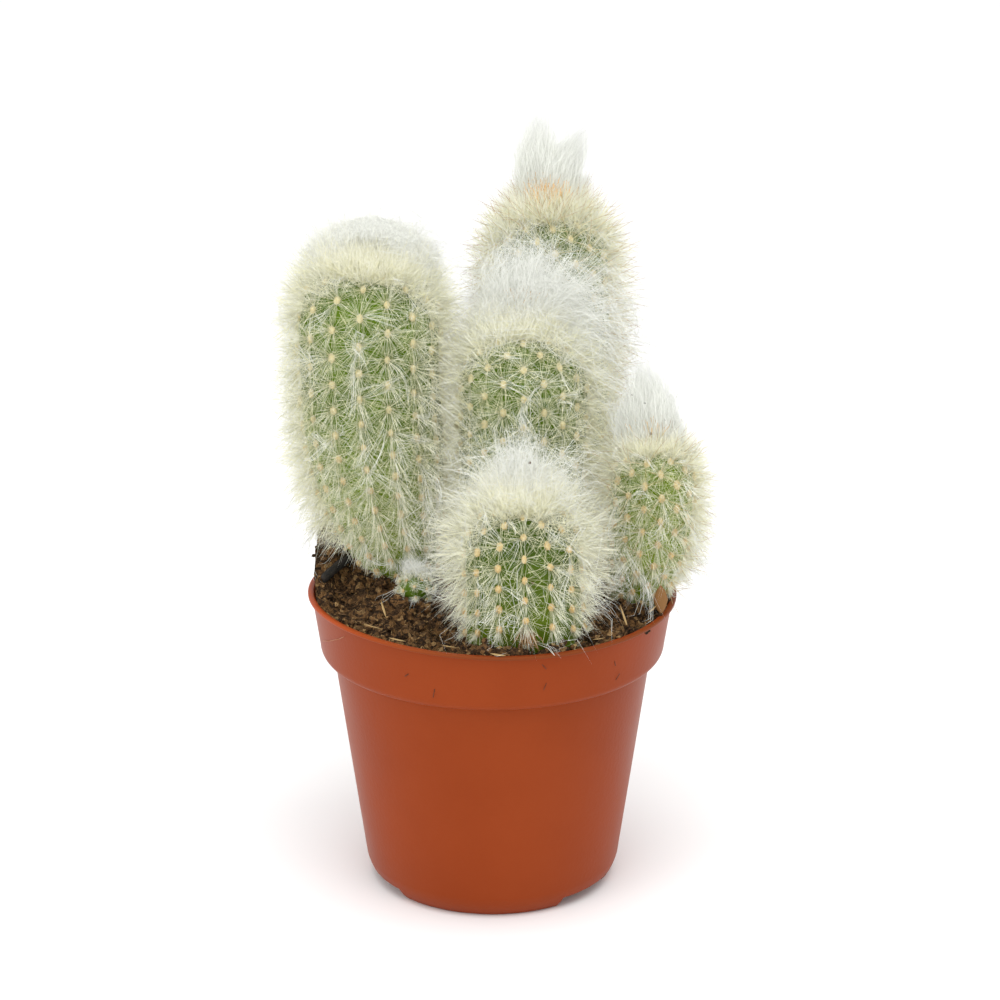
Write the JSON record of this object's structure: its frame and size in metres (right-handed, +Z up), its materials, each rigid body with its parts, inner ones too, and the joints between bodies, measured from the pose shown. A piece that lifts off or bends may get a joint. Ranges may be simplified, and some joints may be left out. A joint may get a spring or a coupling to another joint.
{
  "type": "potted woolly column cactus",
  "caption": "Clump of ribbed column cacti wrapped in white hair and pale spines, in a terracotta-coloured plastic nursery pot of peat.",
  "frame": {"origin": "on the surface that the pot stands on, under the middle of the whole plant's box; the pot's own centre is about 10 mm nearer the front", "axes": "+Z up, -Y towards the viewer of the picture, +X to the viewer's right"},
  "size_m": [0.1226, 0.125, 0.2113],
  "materials": {
    "pot_plastic": "satin terracotta-coloured polypropylene",
    "peat_soil": "dry crumbly peat with pale fibres",
    "charred_bark": "nearly black dry bark",
    "cactus_flesh": "waxy green ribbed skin with pale spines",
    "white_wool": "fine silky white hair"
  },
  "bodies": {
    "root": {"pot": "pot_plastic", "soil": "peat_soil", "twig": "charred_bark", "stem_left": "cactus_flesh", "stem_tall": "cactus_flesh", "stem_middle": "cactus_flesh", "stem_front": "cactus_flesh", "stem_right": "cactus_flesh", "stem_pup": "cactus_flesh", "wool_left": "white_wool", "wool_tall": "white_wool", "wool_middle": "white_wool", "wool_front": "white_wool", "wool_right": "white_wool", "wool_pup": "white_wool"}
  },
  "joints": []
}
